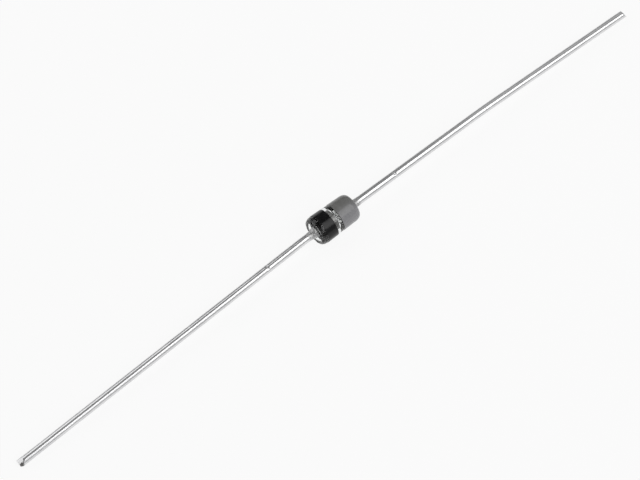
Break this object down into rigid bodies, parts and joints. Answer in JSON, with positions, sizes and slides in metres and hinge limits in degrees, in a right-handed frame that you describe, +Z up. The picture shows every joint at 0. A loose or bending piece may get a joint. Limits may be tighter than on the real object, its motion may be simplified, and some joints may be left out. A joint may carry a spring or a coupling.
{
  "type": "zener diode",
  "caption": "Axial-lead zener diode: a short glass body with a black cathode band, a clear window and a grey coat, with a straight tinned wire lead at each end.",
  "frame": {"origin": "on the surface that the diode lies on, straight below the middle of the glass body", "axes": "+X along the body from cathode to anode, +Z up from the surface, +Y completes the right-handed frame"},
  "size_m": [0.0657, 0.0026, 0.0026],
  "materials": {
    "clear_glass": "clear, fire-rounded",
    "slug_metal": "dull grey metal",
    "silicon": "dark, smooth",
    "silver": "bright",
    "black_ink": "glossy black ink",
    "grey_lacquer": "matt grey lacquer",
    "tinned_wire": "bright tinned, drawn"
  },
  "bodies": {
    "root": {"glass_sleeve": "clear_glass", "cathode_slug": "slug_metal", "anode_slug": "slug_metal", "zener_die": "silicon", "contact_bump": "silver", "cathode_band": "black_ink", "grey_coat": "grey_lacquer", "cathode_lead": "tinned_wire", "anode_lead": "tinned_wire"}
  },
  "joints": []
}
